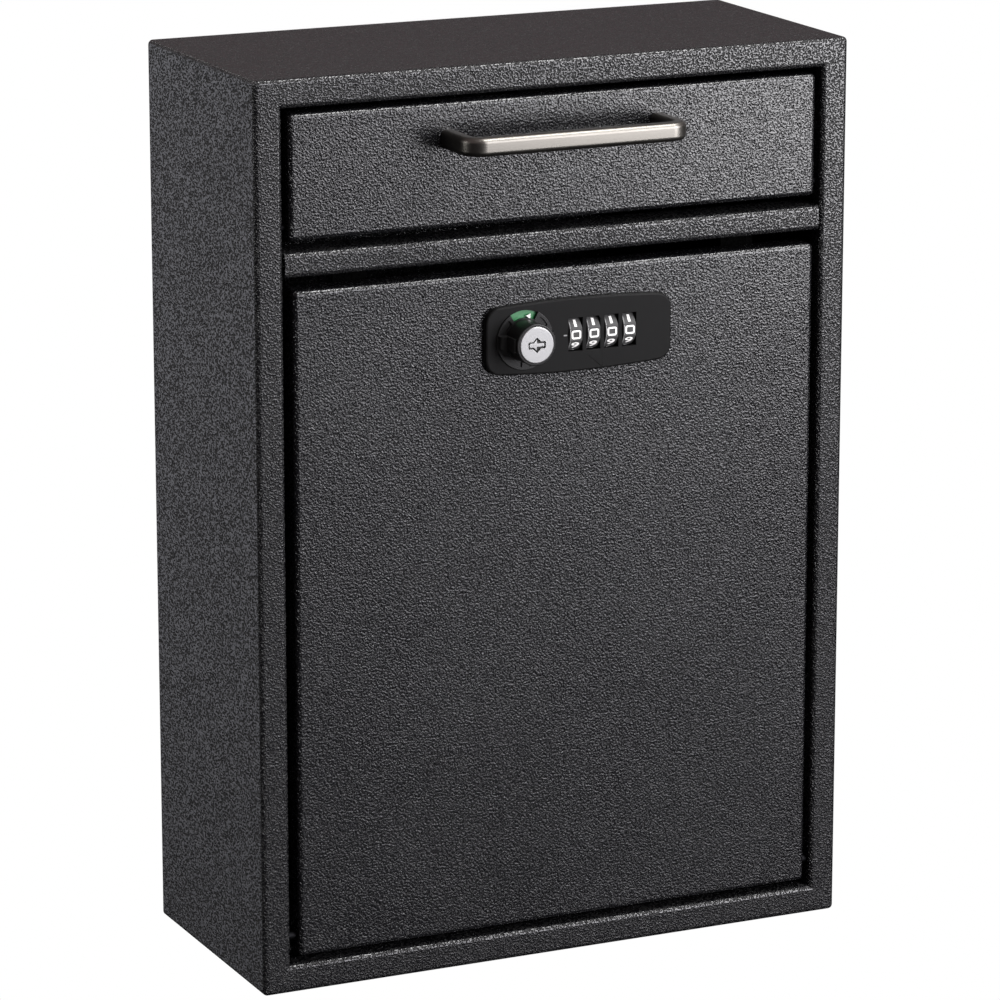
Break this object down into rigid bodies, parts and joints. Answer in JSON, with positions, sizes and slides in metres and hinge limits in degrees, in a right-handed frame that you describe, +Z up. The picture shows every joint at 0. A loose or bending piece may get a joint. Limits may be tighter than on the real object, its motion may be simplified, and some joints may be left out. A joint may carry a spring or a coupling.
{
  "type": "parcel drop box",
  "caption": "Locking steel drop box with a tilting deposit hopper above and a drop-down collection door below, and a combination cam lock.",
  "frame": {"origin": "middle of the cabinet's underside, on the surface it stands on", "axes": "+Z up, -Y towards the user at the doors, +X to the user's right"},
  "size_m": [0.288, 0.152, 0.412],
  "materials": {
    "hammered_black": "black hammered powder coat, semi-gloss",
    "brushed_nickel": "satin nickel plating",
    "zinc_steel": "zinc plated",
    "black_plastic": "satin black moulded",
    "wheel_plastic": "satin black with white figures",
    "green_marker": "printed green",
    "red_marker": "printed red",
    "plug_nickel": "bright nickel plating"
  },
  "bodies": {
    "cabinet": {"left_side": "hammered_black", "right_side": "hammered_black", "top_panel": "hammered_black", "bottom_panel": "hammered_black", "back_panel": "hammered_black", "mid_rail": "hammered_black", "hopper_stop": "hammered_black", "door_stops": "hammered_black", "hopper_pins": "zinc_steel", "door_pins": "zinc_steel"},
    "hopper": {"hopper_face": "hammered_black", "hopper_tray": "hammered_black", "left_cheek": "hammered_black", "right_cheek": "hammered_black", "handle": "brushed_nickel", "handle_screws": "zinc_steel"},
    "door": {"door_panel": "hammered_black", "lock_plate": "black_plastic", "lock_body": "black_plastic", "lock_screws": "zinc_steel", "open_marker": "green_marker", "locked_marker": "red_marker", "wheel_axle": "zinc_steel"},
    "number_wheel_1": {"number_wheel_1": "wheel_plastic"},
    "number_wheel_2": {"number_wheel_2": "wheel_plastic"},
    "number_wheel_3": {"number_wheel_3": "wheel_plastic"},
    "number_wheel_4": {"number_wheel_4": "wheel_plastic"},
    "knob": {"knob": "black_plastic", "cam": "zinc_steel", "cam_screw": "zinc_steel"},
    "key_plug": {"key_plug": "plug_nickel"}
  },
  "joints": [
    {"name": "hopper_tilt", "type": "hinge", "parent": "cabinet", "child": "hopper", "pos_m": [0, -0.056, 0.3465], "axis": [1, 0, 0], "range_deg": [0, 50]},
    {"name": "door_drop", "type": "hinge", "parent": "cabinet", "child": "door", "pos_m": [0, -0.057, 0.0255], "axis": [1, 0, 0], "range_deg": [0, 90]},
    {"name": "knob_turn", "type": "hinge", "parent": "door", "child": "knob", "pos_m": [-0.0178, -0.066, 0.2886], "axis": [0, 1, 0], "range_deg": [0, 90]},
    {"name": "key_turn", "type": "hinge", "parent": "knob", "child": "key_plug", "pos_m": [-0.0178, -0.066, 0.2886], "axis": [0, 1, 0], "range_deg": [0, 90]},
    {"name": "wheel_1_spin", "type": "hinge", "parent": "door", "child": "number_wheel_1", "pos_m": [0.0072, -0.0574, 0.2886], "axis": [1, 0, 0], "continuous": true},
    {"name": "wheel_2_spin", "type": "hinge", "parent": "door", "child": "number_wheel_2", "pos_m": [0.01603, -0.0574, 0.2886], "axis": [1, 0, 0], "continuous": true},
    {"name": "wheel_3_spin", "type": "hinge", "parent": "door", "child": "number_wheel_3", "pos_m": [0.02486, -0.0574, 0.2886], "axis": [1, 0, 0], "continuous": true},
    {"name": "wheel_4_spin", "type": "hinge", "parent": "door", "child": "number_wheel_4", "pos_m": [0.03369, -0.0574, 0.2886], "axis": [1, 0, 0], "continuous": true}
  ]
}
